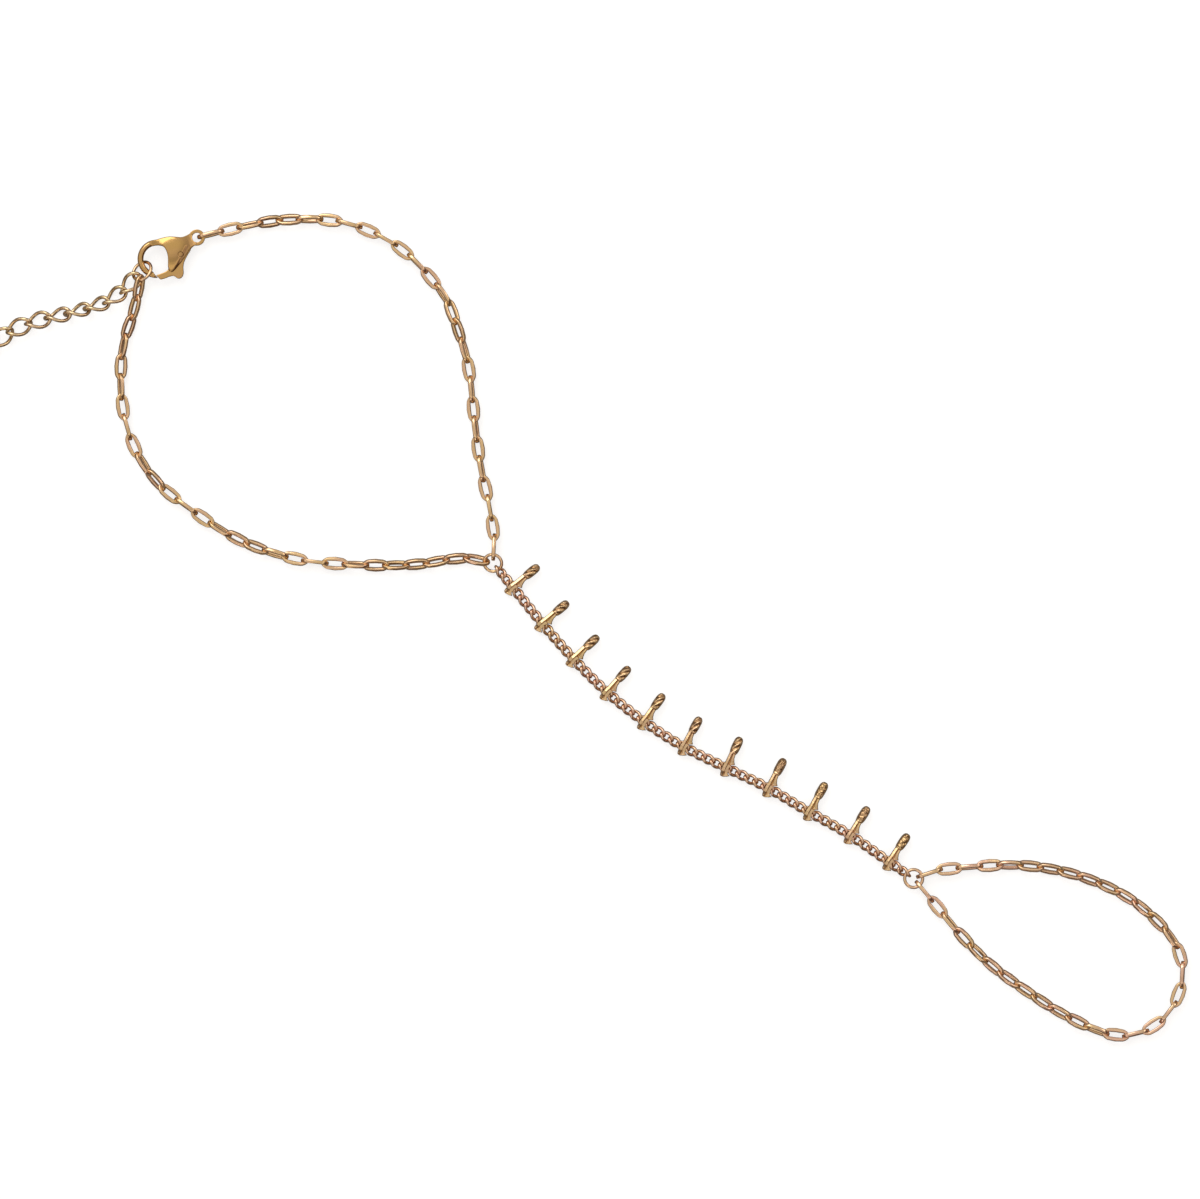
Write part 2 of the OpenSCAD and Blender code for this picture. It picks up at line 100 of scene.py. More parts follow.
class NodeSheet:
    """Adds nodes to a tree and links them by socket name."""

    STEP_RIGHT = 200
    STEP_DOWN = 120
    ROWS = 3

    def __init__(self, tree: bpy.types.NodeTree) -> None:
        """Start on a tree.

        Args:
            tree: The node tree to build in.
        """
        self.tree = tree
        self.column = 0

    def add(self, kind: str, inputs: dict | None = None, **settings: object) -> bpy.types.Node:
        """Add one node.

        Args:
            kind: Blender's type name of the node.
            inputs: Values or sockets for its inputs, by name or index.
            settings: Attributes to set on the node.

        Returns:
            The new node.
        """
        node = self.tree.nodes.new(kind)
        node.location = (self.STEP_RIGHT * self.column, -self.STEP_DOWN * (self.column % self.ROWS))
        self.column += 1
        for name, value in settings.items():
            setattr(node, name, value)
        for name, value in (inputs or {}).items():
            socket = node.inputs[name]
            if isinstance(value, bpy.types.NodeSocket):
                self.tree.links.new(value, socket)
            else:
                socket.default_value = value
        return node

    def sum(self, operation: str, *values: object) -> bpy.types.NodeSocket:
        """Add a Math node.

        Args:
            operation: The Math node's operation.
            values: Its operands, sockets or numbers.

        Returns:
            The node's result.
        """
        node = self.add("ShaderNodeMath", dict(enumerate(values)), operation=operation)
        return node.outputs[0]


def group_tree(name: str, kind: str,
               sockets: list[tuple[str, str, str, object]]) -> bpy.types.NodeTree:
    """Make a node group with named sockets.

    Args:
        name: Name of the group.
        kind: ShaderNodeTree or GeometryNodeTree.
        sockets: Name, INPUT or OUTPUT, socket type and default value of each socket.

    Returns:
        The empty group.
    """
    tree = bpy.data.node_groups.new(name, kind)
    for label, way, socket_type, value in sockets:
        socket = tree.interface.new_socket(name=label, in_out=way, socket_type=socket_type)
        if value is not None:
            socket.default_value = value
    return tree


def plate_tone_group() -> bpy.types.NodeTree:
    """Group that drifts the plate's colour from yellow to rose and mixes in painted shade where
    shade falls.
    """
    tree = group_tree("plate_tone", "ShaderNodeTree", [
        ("Vector", "INPUT", "NodeSocketVector", None),
        ("Yellow", "INPUT", "NodeSocketColor", (0.8, 0.6, 0.3, 1)),
        ("Rose", "INPUT", "NodeSocketColor", (0.8, 0.55, 0.4, 1)),
        ("Drift size", "INPUT", "NodeSocketFloat", 400.0),
        ("Drift", "INPUT", "NodeSocketFloat", 0.5),
        # Share and colour of the painted shade mixed into the plate colour.
        ("Painted shade", "INPUT", "NodeSocketFloat", 0.0),
        ("Painted shade colour", "INPUT", "NodeSocketColor", (0.4, 0.23, 0.1, 1)),
        ("Color", "OUTPUT", "NodeSocketColor", None),
    ])
    sheet = NodeSheet(tree)
    given = sheet.add("NodeGroupInput").outputs
    wide = sheet.add("ShaderNodeTexNoise", {
        "Vector": given["Vector"], "Scale": given["Drift size"], "Detail": 2.0})
    share = sheet.add("ShaderNodeMapRange", {
        "Value": wide.outputs[0], "From Min": 0.35, "From Max": 0.65, "To Min": 0.0,
        "To Max": given["Drift"]})
    mixed = sheet.add("ShaderNodeMix", {
        0: share.outputs[0], 6: given["Yellow"], 7: given["Rose"]}, data_type="RGBA")
    # Mix the painted shade colour into the plate colour by the painted shade share.
    with_painted_shade = sheet.add("ShaderNodeMix", {
        0: given["Painted shade"], 6: mixed.outputs[2], 7: given["Painted shade colour"]}, data_type="RGBA")
    sheet.add("NodeGroupOutput", {"Color": with_painted_shade.outputs[2]})
    return tree


def polish_group() -> bpy.types.NodeTree:
    """Group that gives a polished metal its uneven gloss and fine rubbing marks."""
    tree = group_tree("polish", "ShaderNodeTree", [
        ("Vector", "INPUT", "NodeSocketVector", None),
        ("Low", "INPUT", "NodeSocketFloat", 0.12),
        ("High", "INPUT", "NodeSocketFloat", 0.3),
        ("Wave size", "INPUT", "NodeSocketFloat", 1500.0),
        ("Mark size", "INPUT", "NodeSocketFloat", 9000.0),
        ("Roughness", "OUTPUT", "NodeSocketFloat", None),
        ("Height", "OUTPUT", "NodeSocketFloat", None),
    ])
    sheet = NodeSheet(tree)
    given = sheet.add("NodeGroupInput").outputs
    wave = sheet.add("ShaderNodeTexNoise", {
        "Vector": given["Vector"], "Scale": given["Wave size"], "Detail": 3.0})
    marks = sheet.add("ShaderNodeTexNoise", {
        "Vector": given["Vector"], "Scale": given["Mark size"], "Detail": 4.0, "Distortion": 1.5})
    rough = sheet.add("ShaderNodeMapRange", {
        "Value": marks.outputs[0], "From Min": 0.3, "From Max": 0.7, "To Min": given["Low"],
        "To Max": given["High"]})
    height = sheet.sum("MULTIPLY_ADD", marks.outputs[0], MARKS_IN_HEIGHT, wave.outputs[0])
    sheet.add("NodeGroupOutput", {"Roughness": rough.outputs[0], "Height": height})
    return tree


@dataclass(frozen=True)
class GoldFinish:
    """One gold-plated finish.

    Colours are linear red, green and blue. Sizes are waves per metre, relief is millimetres.
    """

    yellow: Triple
    rose: Triple
    drift: float = 0.6
    drift_size: float = 420.0
    low: float = 0.12
    high: float = 0.26
    wave_size: float = 1500.0
    mark_size: float = 9000.0
    relief: float = 0.012
    relief_strength: float = 0.6
    # Colour of the painted shade in grooves, seams and beside ridges.
    painted_shade: Triple = (0.36, 0.20, 0.09)

    def material(self, name: str, tone: bpy.types.NodeTree,
                 polish: bpy.types.NodeTree) -> bpy.types.Material:
        """Build the material.

        Args:
            name: The material's name.
            tone: The plate_tone group.
            polish: The polish group.

        Returns:
            The finished material.
        """
        made = bpy.data.materials.new(name)
        made.use_nodes = True
        sheet = NodeSheet(made.node_tree)
        shader = made.node_tree.nodes["Principled BSDF"]
        place = sheet.add("ShaderNodeTexCoord").outputs["Object"]
        colour = sheet.add("ShaderNodeGroup", node_tree=tone)
        gloss = sheet.add("ShaderNodeGroup", node_tree=polish)
        for node, values in (
            (colour, {"Yellow": (*self.yellow, 1), "Rose": (*self.rose, 1),
                      "Painted shade colour": (*self.painted_shade, 1), "Drift size": self.drift_size,
                      "Drift": self.drift}),
            (gloss, {"Low": self.low, "High": self.high, "Wave size": self.wave_size,
                     "Mark size": self.mark_size}),
        ):
            made.node_tree.links.new(place, node.inputs["Vector"])
            for label, value in values.items():
                node.inputs[label].default_value = value
        # Read the share of painted shade from the piece's corners.
        painted_shade = sheet.add("ShaderNodeAttribute", attribute_name=PAINTED_SHADE)
        made.node_tree.links.new(painted_shade.outputs["Fac"], colour.inputs["Painted shade"])
        bump = sheet.add("ShaderNodeBump", {
            "Height": gloss.outputs["Height"], "Distance": self.relief * MM,
            "Strength": self.relief_strength})
        made.node_tree.links.new(colour.outputs["Color"], shader.inputs["Base Color"])
        made.node_tree.links.new(gloss.outputs["Roughness"], shader.inputs["Roughness"])
        made.node_tree.links.new(bump.outputs["Normal"], shader.inputs["Normal"])
        shader.inputs["Metallic"].default_value = 1.0
        return made


FINISHES = {
    Tone.LINKS: GoldFinish((0.76, 0.53, 0.28), (0.77, 0.50, 0.34), drift=0.8),
    Tone.FINGER: GoldFinish((0.76, 0.54, 0.30), (0.78, 0.50, 0.36), drift=1.0),
    Tone.CURB: GoldFinish((0.68, 0.47, 0.28), (0.70, 0.45, 0.33), drift=1.0, low=0.16, high=0.3),
    Tone.EXTENDER: GoldFinish((0.74, 0.56, 0.32), (0.74, 0.52, 0.35), drift=0.6),
    Tone.CLASP: GoldFinish((0.57, 0.35, 0.12), (0.58, 0.34, 0.15), drift=0.7, low=0.1, high=0.2),
    Tone.BARS: GoldFinish((0.71, 0.51, 0.26), (0.73, 0.48, 0.31), drift=0.8, low=0.14, high=0.28),
}


class Wardrobe:
    """Builds each finish once and hands it out."""

    def __init__(self) -> None:
        """Build the shared groups and every finish."""
        tone, polish = plate_tone_group(), polish_group()
        self.materials = {
            kind: finish.material(kind.value, tone, polish) for kind, finish in FINISHES.items()
        }

    def dress(self, piece: bpy.types.Object, kind: Tone) -> None:
        """Give a piece one finish on all its slots.

        Args:
            piece: The object to dress.
            kind: Which finish it gets.
        """
        piece.data.materials.clear()
        piece.data.materials.append(self.materials[kind])

    def painted_shade(self, piece: bpy.types.Object, share: Callable[[Vector], float]) -> None:
        """Paint shade into a piece's plate colour where shade falls.

        Args:
            piece: The object.
            share: Gives the share of painted shade at a corner, from 0 to 1, from its place in
                metres.
        """
        shares = [clamped(share(corner.co)) for corner in piece.data.vertices]
        layer = piece.data.attributes.new(PAINTED_SHADE, "FLOAT", "POINT")
        layer.data.foreach_set("value", shares)


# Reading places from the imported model


def merged(node: str) -> tuple[np.ndarray, np.ndarray]:
    """Read a node's mesh with its doubled corners merged.

    Args:
        node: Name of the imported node.

    Returns:
        The corners, one a row in metres, and the triangles as rows of corner numbers.
    """
    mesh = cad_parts[node].data
    mesh.calc_loop_triangles()
    corners = np.empty(len(mesh.vertices) * 3)
    mesh.vertices.foreach_get("co", corners)
    faces = np.empty(len(mesh.loop_triangles) * 3, dtype=np.int64)
    mesh.loop_triangles.foreach_get("vertices", faces)
    keys = np.round(corners.reshape(-1, 3), MERGE_DIGITS)
    unique, inverse = np.unique(keys, axis=0, return_inverse=True)
    return unique, inverse.reshape(-1)[faces].reshape(-1, 3)


def loose_parts(node: str) -> list[np.ndarray]:
    """Split a node into the corners of its loose parts.

    Args:
        node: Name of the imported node.

    Returns:
        One array of corners for each part.
    """
    corners, faces = merged(node)
    group = np.arange(len(corners))
    while True:
        least = group[faces].min(axis=1)
        before = group.copy()
        for column in range(3):
            np.minimum.at(group, faces[:, column], least)
        group = group[group]
        if (group == before).all():
            break
    return [corners[group == g] for g in np.unique(group)]


@dataclass(frozen=True)
class Place:
    """Where a link lies: its middle and its axes, with x along the link."""

    middle: Vector
    axes: Matrix

    @staticmethod
    def of(corners: np.ndarray) -> Place:
        """Find the middle and the main axes of a part.

        Args:
            corners: The part's corners.

        Returns:
            Its place, with the longest axis first and the shortest last.
        """
        middle = corners.mean(axis=0)
        rows = np.linalg.svd(corners - middle, full_matrices=False)[2]
        x, y = Vector(rows[0]), Vector(rows[1])
        return Place(Vector(middle), Matrix((x, y, x.cross(y))).transposed())

    def matrix(self) -> Matrix:
        """Return the place as a 4 by 4 matrix."""
        return Matrix.Translation(self.middle) @ self.axes.to_4x4()


def point_cloud(name: str, places: list[Place]) -> bpy.types.Object:
    """Make a mesh of loose points that carry each link's turn.

    Args:
        name: Name of the object.
        places: Where the links lie.

    Returns:
        The object that a tree of repeated links starts from.
    """
    mesh = bpy.data.meshes.new(name)
    mesh.from_pydata([p.middle for p in places], [], [])
    turn = mesh.attributes.new("turn", "FLOAT_VECTOR", "POINT")
    for row, place in zip(turn.data, places):
        row.vector = place.axes.to_euler("XYZ")
    made = bpy.data.objects.new(name, mesh)
    bpy.context.scene.collection.objects.link(made)
    return made


# Trees of repeated links


class LinkTree:
    """A Geometry Nodes tree that draws one kind of link and repeats it at every point."""

    def __init__(self, name: str, sizes: dict[str, float]) -> None:
        """Start the tree with named size inputs.

        Args:
            name: Name of the tree.
            sizes: Label and value in millimetres, or a plain number, of each size.
        """
        sockets = [("Geometry", "INPUT", "NodeSocketGeometry", None),
                   ("Finish", "INPUT", "NodeSocketMaterial", None)]
        sockets += [(label, "INPUT", "NodeSocketFloat", value) for label, value in sizes.items()]
        sockets += [("Geometry", "OUTPUT", "NodeSocketGeometry", None)]
        self.tree = group_tree(name, "GeometryNodeTree", sockets)
        self.sheet = NodeSheet(self.tree)
        self.given = self.sheet.add("NodeGroupInput").outputs
        self.sizes = sizes

    def finish(self, link: bpy.types.NodeSocket) -> None:
        """Repeat the link at the points and end the tree.

        Args:
            link: Mesh of one link at the origin.
        """
        sheet = self.sheet
        smooth = sheet.add("GeometryNodeSetShadeSmooth", {"Geometry": link})
        turn = sheet.add("GeometryNodeInputNamedAttribute", {"Name": "turn"},
                         data_type="FLOAT_VECTOR")
        rotation = sheet.add("FunctionNodeEulerToRotation", {"Euler": turn.outputs["Attribute"]})
        copies = sheet.add("GeometryNodeInstanceOnPoints", {
            "Points": self.given["Geometry"], "Instance": smooth.outputs[0],
            "Rotation": rotation.outputs[0], "Scale": (MM, MM, MM)})
        real = sheet.add("GeometryNodeRealizeInstances", {"Geometry": copies.outputs[0]})
        dressed = sheet.add("GeometryNodeSetMaterial", {
            "Geometry": real.outputs[0], "Material": self.given["Finish"]})
        sheet.add("NodeGroupOutput", {"Geometry": dressed.outputs[0]})

    def grow(self, name: str, places: list[Place], finish: bpy.types.Material) -> bpy.types.Object:
        """Run the tree on a set of places and keep the plain mesh.

        Args:
            name: Name of the piece.
            places: Where its links lie.
            finish: Material of the links.

        Returns:
            The piece, without its modifier.
        """
        piece = point_cloud(name, places)
        modifier = piece.modifiers.new("links", "NODES")
        modifier.node_group = self.tree
        values = dict(self.sizes, Finish=finish)
        for item in self.tree.interface.items_tree:
            if item.in_out == "INPUT" and item.name in values:
                modifier[item.identifier] = values[item.name]
        return plain(piece)


def plain(piece: bpy.types.Object) -> bpy.types.Object:
    """Replace an object's mesh by its evaluated mesh and drop its modifiers.

    Args:
        piece: The object with live modifiers.

    Returns:
        The same object, with a plain mesh.
    """
    bpy.context.view_layer.update()
    graph = bpy.context.evaluated_depsgraph_get()
    mesh = bpy.data.meshes.new_from_object(piece.evaluated_get(graph), depsgraph=graph)
    piece.modifiers.clear()
    piece.data = mesh
    return piece


@dataclass
class CableLink:
    """Flat-wire cable link, pinched at its ends, with nearly square corners in its hole."""

    length: float = 3.66
    width: float = 1.76
    wire: float = 0.52
    thick: float = 0.5
    bow: float = 0.62
    wire_edge: float = 0.13
    pinch: float = 0.40
    bow_steps: int = 6
    edge_steps: int = 2

    def tree(self) -> LinkTree:
        """Build the tree that draws this link."""
        made = LinkTree("cable_link", {
            "Length": self.length, "Width": self.width, "Wire": self.wire, "Thick": self.thick,
            "Bow": self.bow, "Wire edge": self.wire_edge, "Pinch": self.pinch})
        sheet, given = made.sheet, made.given
        long_side = sheet.sum("SUBTRACT", given["Length"], given["Wire"])
        short_side = sheet.sum("SUBTRACT", given["Width"], given["Wire"])
        outline = self.rounded(sheet, long_side, short_side, given["Bow"], self.bow_steps)
        finer = sheet.add("GeometryNodeSubdivideCurve", {"Curve": outline, "Cuts": 1})
        section = self.rounded(sheet, given["Wire"], given["Thick"], given["Wire edge"],
                               self.edge_steps)
        swept = sheet.add("GeometryNodeCurveToMesh", {
            "Curve": finer.outputs[0], "Profile Curve": section})
        where = sheet.add("GeometryNodeInputPosition").outputs[0]
        parts = sheet.add("ShaderNodeSeparateXYZ", {0: where}).outputs
        share = sheet.sum("DIVIDE", parts[0], sheet.sum("MULTIPLY", given["Length"], 0.5))
        squeeze = sheet.sum("MULTIPLY", sheet.sum("MULTIPLY", share, share), given["Pinch"])
        narrow = sheet.sum("MULTIPLY", parts[1], sheet.sum("SUBTRACT", 1.0, squeeze))
        moved = sheet.add("ShaderNodeCombineXYZ", {0: parts[0], 1: narrow, 2: parts[2]})
        shaped = sheet.add("GeometryNodeSetPosition", {
            "Geometry": swept.outputs[0], "Position": moved.outputs[0]})
        made.finish(shaped.outputs[0])
        return made

    @staticmethod
    def rounded(sheet: NodeSheet, length: object, width: object, radius: object,
                steps: int) -> bpy.types.NodeSocket:
        """Add a rectangle with round corners.

        Args:
            sheet: Where to add it.
            length: Its length.
            width: Its width.
            radius: Radius of its corners.
            steps: Straight pieces in each corner.

        Returns:
            The closed curve.
        """
        box = sheet.add("GeometryNodeCurvePrimitiveQuadrilateral", {
            "Width": length, "Height": width})
        corners = sheet.add("GeometryNodeFilletCurve", {
            "Curve": box.outputs[0], "Radius": radius, "Count": steps, "Limit Radius": True},
            mode="POLY")
        return corners.outputs[0]


@dataclass
class CurbLink:
    """Round-wire oval link whose ends turn out of its plane."""

    half_length: float
    half_width: float
    wire: float
    twist: float = 60.0
    steps: int = 24
    sides: int = 10

    def tree(self, name: str) -> LinkTree:
        """Build the tree that draws this link.

        Args:
            name: Name of the tree.

        Returns:
            The tree.
        """
        made = LinkTree(name, {
            "Half length": self.half_length, "Half width": self.half_width, "Wire": self.wire,
            "Twist": math.radians(self.twist)})
        sheet, given = made.sheet, made.given
        circle = sheet.add("GeometryNodeCurvePrimitiveCircle", {
            "Resolution": self.steps, "Radius": 1.0})
        where = sheet.add("GeometryNodeInputPosition").outputs[0]
        parts = sheet.add("ShaderNodeSeparateXYZ", {0: where}).outputs
        angle = sheet.sum("MULTIPLY", parts[0], given["Twist"])
        side = sheet.sum("MULTIPLY", parts[1], given["Half width"])
        moved = sheet.add("ShaderNodeCombineXYZ", {
            0: sheet.sum("MULTIPLY", parts[0], given["Half length"]),
            1: sheet.sum("MULTIPLY", side, sheet.sum("COSINE", angle)),
            2: sheet.sum("MULTIPLY", side, sheet.sum("SINE", angle))})
        bent = sheet.add("GeometryNodeSetPosition", {
            "Geometry": circle.outputs[0], "Position": moved.outputs[0]})
        section = sheet.add("GeometryNodeCurvePrimitiveCircle", {
            "Resolution": self.sides, "Radius": sheet.sum("MULTIPLY", given["Wire"], 0.5)})
        swept = sheet.add("GeometryNodeCurveToMesh", {
            "Curve": bent.outputs[0], "Profile Curve": section.outputs[0]})
        made.finish(swept.outputs[0])
        return made


@dataclass
class WireRing:
    """Round jump ring."""

    node: str
    tone: Tone
    steps: int = 48
    sides: int = 14

    def build(self, wardrobe: Wardrobe) -> bpy.types.Object:
        """Build the ring where its node lies.

        Args:
            wardrobe: Where its finish comes from.

        Returns:
            The piece.
        """
        corners = merged(self.node)[0]
        place = Place.of(corners)
        flat = (corners - np.array(place.middle)) @ np.array(place.axes) / MM
        wire = float(np.ptp(flat[:, 2]))
        outer = float(np.hypot(flat[:, 0], flat[:, 1]).max())
        made = LinkTree("ring_" + self.node, {"Middle radius": outer - wire / 2, "Wire": wire})
        sheet, given = made.sheet, made.given
        circle = sheet.add("GeometryNodeCurvePrimitiveCircle", {
            "Resolution": self.steps, "Radius": given["Middle radius"]})
        section = sheet.add("GeometryNodeCurvePrimitiveCircle", {
            "Resolution": self.sides, "Radius": sheet.sum("MULTIPLY", given["Wire"], 0.5)})
        swept = sheet.add("GeometryNodeCurveToMesh", {
            "Curve": circle.outputs[0], "Profile Curve": section.outputs[0]})
        made.finish(swept.outputs[0])
        piece = made.grow(self.node + "_wire", [place], wardrobe.materials[self.tone])
        return settle(piece, Body.BRACELET, wardrobe, self.tone, self.node)


def settle(piece: bpy.types.Object, body: Body, wardrobe: Wardrobe, tone: Tone,
           *nodes: str) -> bpy.types.Object:
    """Dress a piece, put it on its body and name the nodes that it stands for.

    Args:
        piece: The finished piece.
        body: The body that it rides on.
        wardrobe: Where its finish comes from.
        tone: Its finish.
        nodes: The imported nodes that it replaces.

    Returns:
        The piece.
    """
    wardrobe.dress(piece, tone)
    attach(piece, body.value)
    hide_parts(*nodes)
    LOG.info("%s: %d faces, stands for %s", piece.name, len(piece.data.polygons), ", ".join(nodes))
    return piece


# The strands


@dataclass
class Strands:
    """All the chains of the bracelet."""

    cable: CableLink = field(default_factory=CableLink)
    fine_curb: CurbLink = field(default_factory=lambda: CurbLink(0.86, 0.51, 0.43))
    extender: CurbLink = field(
        default_factory=lambda: CurbLink(1.68, 1.02, 0.47, steps=32, sides=12))

    def build(self, wardrobe: Wardrobe) -> None:
        """Build every chain where its links lie.

        Args:
            wardrobe: Where the finishes come from.
        """
        cable = self.cable.tree()
        for node, tone in (("wrist_chain_right", Tone.LINKS), ("wrist_chain_left", Tone.LINKS),
                           ("finger_chain", Tone.FINGER)):
            self.strand(cable, node, tone, wardrobe)
        self.strand(self.extender.tree("extender_link"), "extender_chain", Tone.EXTENDER, wardrobe)
        curb = self.fine_curb.tree("curb_link")
        places = curb_places() + bar_places()
        piece = curb.grow("centre_chain_links", places, wardrobe.materials[Tone.CURB])
        settle(piece, Body.BRACELET, wardrobe, Tone.CURB, "centre_chain")

    @staticmethod
    def strand(tree: LinkTree, node: str, tone: Tone, wardrobe: Wardrobe) -> None:
        """Build one chain.

        Args:
            tree: Tree of its links.
            node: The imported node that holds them.
            tone: Its finish.
            wardrobe: Where the finish comes from.
        """
        places = [Place.of(part) for part in loose_parts(node)]
        piece = tree.grow(node + "_links", places, wardrobe.materials[tone])
        settle(piece, Body.BRACELET, wardrobe, tone, node)


def curb_places() -> list[Place]:
    """Places of the curb links between the bars, in order from the wrist ring."""
    return sorted((Place.of(p) for p in loose_parts("centre_chain")), key=lambda p: p.middle.x)


def bar_places() -> list[Place]:
    """Places of the curb links that the bars are soldered to, in order from the wrist ring."""
    places = curb_places()
    steps = [(b.middle - a.middle).length for a, b in zip(places, places[1:])]
    pitch = sorted(steps)[len(steps) // 2]
    found = []
    for (a, b), step in zip(zip(places, places[1:]), steps):
        if step > BAR_STEP * pitch:
            along = (b.middle - a.middle).normalized()
            across = Vector((0, 0, 1)).cross(along).normalized()
            axes = Matrix((along, across, along.cross(across))).transposed()
            found.append(Place((a.middle + b.middle) / 2, axes))
    return found


# The spike bars


@dataclass(frozen=True)
class Station:
    """One section across a spike.

    Its place along the spike, its half widths, its top, the edges of its flat crest and how
    round it is, from 0 for the ridge to 1 for the tip.
    """

    y: float
    left: float
    right: float
    top: float
    crest_from: float
    crest_to: float
    dome: float


@dataclass(frozen=True)
class Ripple:
    """Noise in a tip's surface: how often it waves, its shift from bar to bar and its share."""

    often: float
    shift: float
    share: float

    def at(self, x: float, y: float, number: int) -> float:
        """Value of the noise at a point of a bar."""
        return noise.noise(Vector((self.often * x, self.often * y, self.shift * number)))


@dataclass(frozen=True)
class Web:
    """Low web beside the ridge: a step down, a crease at its foot, a slope and a round edge.

    Places are shares of its width and depths are shares of the ridge's height.
    """

    step_end: float = 0.24
    step: float = 0.52
    slope: float = 0.16
    crease_at: float = 0.26
    crease_half: float = 0.08
    crease: float = 0.10
    deepest: float = 0.9
    round_from: float = 0.8

    def height(self, share: float, top: float, low: float) -> float:
        """Height of the web at a place across it.

        Args:
            share: The place, from 0 at the ridge to 1 at the edge.
            top: Height of the ridge.
            low: Height of the edge.

        Returns:
            The height in millimetres.
        """
        fall = self.step * eased(min(1.0, share / self.step_end)) + self.slope * share
        fall += self.crease * bell(share - self.crease_at, self.crease_half)
        edge = max(0.0, (share - self.round_from) / (1 - self.round_from))
        round_off = math.sqrt(max(0.0, 1 - edge * edge))
        return low + (top - low) * (1 - min(fall, self.deepest)) * round_off


@dataclass
class SpikeBar:
    """Cast spike with a foot, a bright narrow ridge beside a low web and a textured tip.

    The rows give a share of the foot's, the shaft's or the tip's length. In foot and shaft rows
    the left and right half widths follow, in curb pitches, and in tip rows the share of the tip's
    width. The last number is the share of the ridge's height.
    """

    reach: float = 4.4
    foot: float = 1.25
    tip_width: float = 1.2
    tip_length: float = 2.3
    tip_shift: float = 0.1
    tip_crest: float = 0.5
    dome_start: float = 0.3
    dome_growth: float = 4.0
    dome_power: float = 2.6
    ridge_height: float = 0.82
    ridge_edge: float = 0.84
    ridge_tilt: float = 0.36
    ridge_side_power: float = 0.5
    web: Web = field(default_factory=Web)
    groove_pitch: float = 0.92
    groove_depth: float = 0.2
    groove_slant: float = 1.39
    groove_shift: float = 0.21
    groove_power: float = 0.8
    groove_waves: tuple[Triple, ...] = ((0.04, 4.0, 1.7), (0.012, 15.0, 1.0))
    pebbles: Ripple = Ripple(3.6, 5.0, 1.8)
    fine_grain: Ripple = Ripple(9.0, 3.0, 0.05)
    relief_fade_power: int = 4
    pebbling: Pair = (0.15, 0.6)
    first_pebbled: int = 8
    # Painted shade: over the whole tip of the pebbled bars, in the tip's grooves, and in a line on
    # the shaded side of the ridge.
    pebbled_tip_shade: float = 0.55
    groove_shade: float = 1.05
    groove_shade_from: float = 0.42
    tip_shade_length: float = 0.92
    tip_shade_fade: float = 0.06
    line_at: float = 0.09
    line_half: float = 0.07
    ridge_line_shade: float = 0.85
    pitch: float = 1.24
    under: float = -0.26
    edge: float = 0.12
    tip_edge_loss: float = 0.4
    lowest: float = 0.98
    saddle_half: float = 0.55
    saddle_under: float = 0.589
    saddle_hollow: float = 0.92
    saddle_marks: Pair = (0.88, 0.96)
    step: float = 0.05
    points_across: tuple[int, int, int] = (7, 7, 17)
    sharp_from: float = 50.0
    foot_rows: tuple[Row, ...] = (
        (1.0, 0.08, 0.16, 0.16), (0.93, 0.14, 0.27, 0.32), (0.62, 0.22, 0.60, 0.46),
        (0.36, 0.25, 0.80, 0.58), (0.0, 0.27, 0.46, 0.84))
    middle_row: Triple = (0.30, 0.38, 1.0)
    shaft_rows: tuple[Row, ...] = (
        (0.0, 0.27, 0.46, 1.0), (0.18, 0.26, 0.80, 1.0), (0.40, 0.26, 0.60, 0.99),
        (0.65, 0.26, 0.47, 0.97), (0.96, 0.27, 0.42, 0.95))
    tip_rows: tuple[Triple, ...] = (
        (0.06, 0.86, 0.93), (0.14, 0.93, 0.91), (0.26, 0.98, 0.90), (0.40, 1.00, 0.90),
        (0.55, 1.00, 0.90), (0.70, 0.98, 0.86), (0.82, 0.90, 0.78), (0.92, 0.72, 0.64),
        (0.975, 0.48, 0.46), (1.00, 0.28, 0.30))

    def stations(self) -> list[Station]:
        """List the main sections from the foot to the tip."""
        h, neck, p = self.ridge_height, self.reach - self.tip_length, self.pitch
        rows = []
        for s, left, right, top in self.foot_rows:
            rows.append((-self.saddle_half - s * (self.foot - self.saddle_half), left, right, top))
        rows.append((0.0, *self.middle_row))
        for s, left, right, top in self.shaft_rows:
            rows.append((self.saddle_half + s * (neck - self.saddle_half), left, right, top))
        made = [Station(y, left * p, right * p, top * h, -self.ridge_edge * left * p, 0.0, 0.0)
                for y, left, right, top in rows]
        for s, share, top in self.tip_rows:
            left = (share / 2 - self.tip_shift) * self.tip_width
            right = (share / 2 + self.tip_shift) * self.tip_width
            made.append(Station(neck + s * self.tip_length, left, right, top * h,
                                -self.tip_crest * left, self.tip_crest * right,
                                min(1.0, self.dome_start + self.dome_growth * s)))
        return made

    def sections(self) -> list[Station]:
        """List close sections, eased between the main ones."""
        main = self.stations()
        ys = [s.y for s in main]
        count = round((ys[-1] - ys[0]) / self.step)
        marks = set(np.linspace(ys[0], ys[-1], count).tolist()) | set(ys)
        marks |= {side * self.saddle_half * k for side in (-1, 1) for k in self.saddle_marks}
        table = np.array([[s.left, s.right, s.top, s.crest_from, s.crest_to, s.dome] for s in main])
        made = []
        for y in sorted(marks):
            i = min(max(int(np.searchsorted(ys, y, side="right")) - 1, 0), len(ys) - 2)
            t = clamped((y - ys[i]) / (ys[i + 1] - ys[i]))
            t = (t + eased(t)) / 2
            row = table[i] + t * (table[i + 1] - table[i])
            made.append(Station(float(y), *(float(v) for v in row)))
        return made

